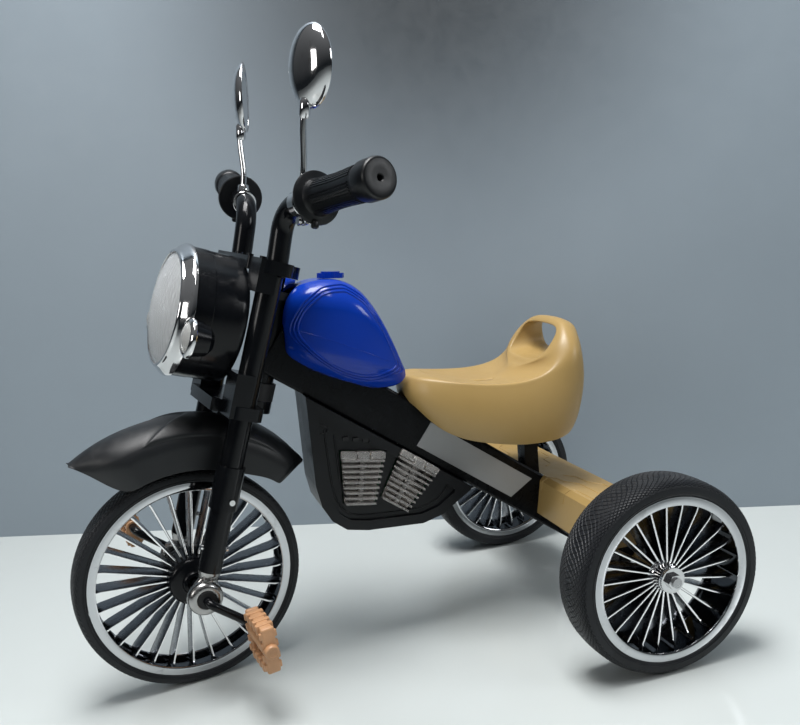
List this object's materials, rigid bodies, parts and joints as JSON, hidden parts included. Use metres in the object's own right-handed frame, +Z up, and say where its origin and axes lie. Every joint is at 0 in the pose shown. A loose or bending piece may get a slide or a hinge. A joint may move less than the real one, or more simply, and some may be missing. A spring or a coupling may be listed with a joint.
{
  "type": "ride-on pedal tricycle",
  "caption": "Child's ride-on pedal tricycle in cruiser-motorcycle style: pedals on the front wheel, high bars with mirrors, tank, saddle with a grab hoop, lamp and engine-shaped casing.",
  "frame": {"origin": "bottom centre of the object's bounding box, on the ground", "axes": "-Y is the way it drives, +X is the rider's left, +Z is up; at rest the bars stand turned 10 degrees to the rider's left"},
  "size_m": [0.548, 0.7888, 0.7646],
  "materials": {
    "tyre_foam": "matte",
    "rim_chrome": "polished",
    "frame_paint": "satin",
    "fork_paint": "gloss",
    "bright_steel": "polished",
    "plain_steel": "brushed",
    "black_plastic": "gloss",
    "fender_plastic": "satin",
    "tank_blue": "gloss",
    "seat_tan": "satin",
    "pedal_tan": "satin",
    "grip_rubber": "satin",
    "clear_plastic": "clear",
    "amber_plastic": "clear",
    "mirror_glass": "polished",
    "label_silver": "brushed",
    "nylon": "matte",
    "board_green": "matte",
    "button_grey": "gloss"
  },
  "bodies": {
    "frame": {"head_tube": "frame_paint", "head_bushes": "nylon", "main_beam": "frame_paint", "rear_axle_tube": "frame_paint", "rear_axle": "plain_steel", "axle_nuts": "bright_steel", "casing_left": "black_plastic", "casing_right": "black_plastic", "cylinder_lenses": "clear_plastic", "light_board": "board_green", "battery_box": "nylon", "speaker": "nylon", "tank_shell": "tank_blue", "fuel_cap": "tank_blue", "seat_shell": "seat_tan", "seat_post": "frame_paint", "side_labels": "label_silver", "rear_cover": "seat_tan"},
    "steering": {"steerer": "plain_steel", "steering_fasteners": "bright_steel", "upper_crown": "black_plastic", "lower_crown": "black_plastic", "crown_screws": "fork_paint", "fork_legs": "fork_paint", "lower_fork_tubes": "fork_paint", "fork_collars": "black_plastic", "crank_bushes": "nylon", "dropout_left": "bright_steel", "dropout_right": "bright_steel", "headlight_shell": "black_plastic", "lamp_bezels": "bright_steel", "headlight_lens": "clear_plastic", "headlight_reflector": "bright_steel", "turn_signal_housings": "black_plastic", "turn_signal_lenses": "amber_plastic", "front_fender": "fender_plastic", "mirror_clamps": "bright_steel", "handlebar_left": "fork_paint", "handlebar_right": "fork_paint", "grip_left": "grip_rubber", "grip_right": "grip_rubber"},
    "front_wheel": {"front_tyre": "tyre_foam", "front_rim": "rim_chrome", "crank": "plain_steel"},
    "pedal_left": {"pedal_left": "pedal_tan"},
    "pedal_right": {"pedal_right": "pedal_tan"},
    "rear_wheel_left": {"rear_tyre_left": "tyre_foam", "rear_rim_left": "rim_chrome"},
    "rear_wheel_right": {"rear_tyre_right": "tyre_foam", "rear_rim_right": "rim_chrome"},
    "mirror_left": {"mirror_stem_left": "bright_steel", "mirror_shell_left": "bright_steel", "mirror_glass_left": "mirror_glass"},
    "mirror_right": {"mirror_stem_right": "bright_steel", "mirror_shell_right": "bright_steel", "mirror_glass_right": "mirror_glass"},
    "button_horn": {"button_horn": "button_grey"},
    "button_music": {"button_music": "button_grey"},
    "button_light": {"button_light": "button_grey"}
  },
  "joints": [
    {"name": "steering_turn", "type": "hinge", "parent": "frame", "child": "steering", "pos_m": [0, -0.12287, 0.41394], "axis": [0, 0.3256, 0.9455], "range_deg": [-50, 30]},
    {"name": "front_wheel_spin", "type": "hinge", "parent": "steering", "child": "front_wheel", "pos_m": [0.00625, -0.25406, 0.14182], "axis": [0.9848, 0.1642, -0.0565], "continuous": true},
    {"name": "pedal_left_spin", "type": "hinge", "parent": "front_wheel", "child": "pedal_left", "pos_m": [0.13632, -0.18715, 0.0968], "axis": [0.9848, 0.1642, -0.0565], "continuous": true},
    {"name": "pedal_right_spin", "type": "hinge", "parent": "front_wheel", "child": "pedal_right", "pos_m": [-0.12382, -0.32096, 0.18684], "axis": [0.9848, 0.1642, -0.0565], "continuous": true},
    {"name": "rear_wheel_left_spin", "type": "hinge", "parent": "frame", "child": "rear_wheel_left", "pos_m": [0.235, 0.27442, 0.12], "axis": [1, 0, 0], "continuous": true},
    {"name": "rear_wheel_right_spin", "type": "hinge", "parent": "frame", "child": "rear_wheel_right", "pos_m": [-0.235, 0.27442, 0.12], "axis": [1, 0, 0], "continuous": true},
    {"name": "mirror_left_turn", "type": "hinge", "parent": "steering", "child": "mirror_left", "pos_m": [0.10746, -0.07936, 0.58116], "axis": [0.1465, 0.1251, 0.9813], "range_deg": [-35, 35]},
    {"name": "mirror_right_turn", "type": "hinge", "parent": "steering", "child": "mirror_right", "pos_m": [-0.09643, -0.11335, 0.59286], "axis": [-0.0689, 0.0892, 0.9936], "range_deg": [-35, 35]},
    {"name": "button_horn_press", "type": "slide", "parent": "frame", "child": "button_horn", "axis": [-1, 0, 0], "range_m": [0, 0.0015], "stiffness_N_per_m": 250, "springref_m": -0.001},
    {"name": "button_music_press", "type": "slide", "parent": "frame", "child": "button_music", "axis": [-1, 0, 0], "range_m": [0, 0.0015], "stiffness_N_per_m": 250, "springref_m": -0.001},
    {"name": "button_light_press", "type": "slide", "parent": "frame", "child": "button_light", "axis": [-1, 0, 0], "range_m": [0, 0.0015], "stiffness_N_per_m": 250, "springref_m": -0.001}
  ]
}
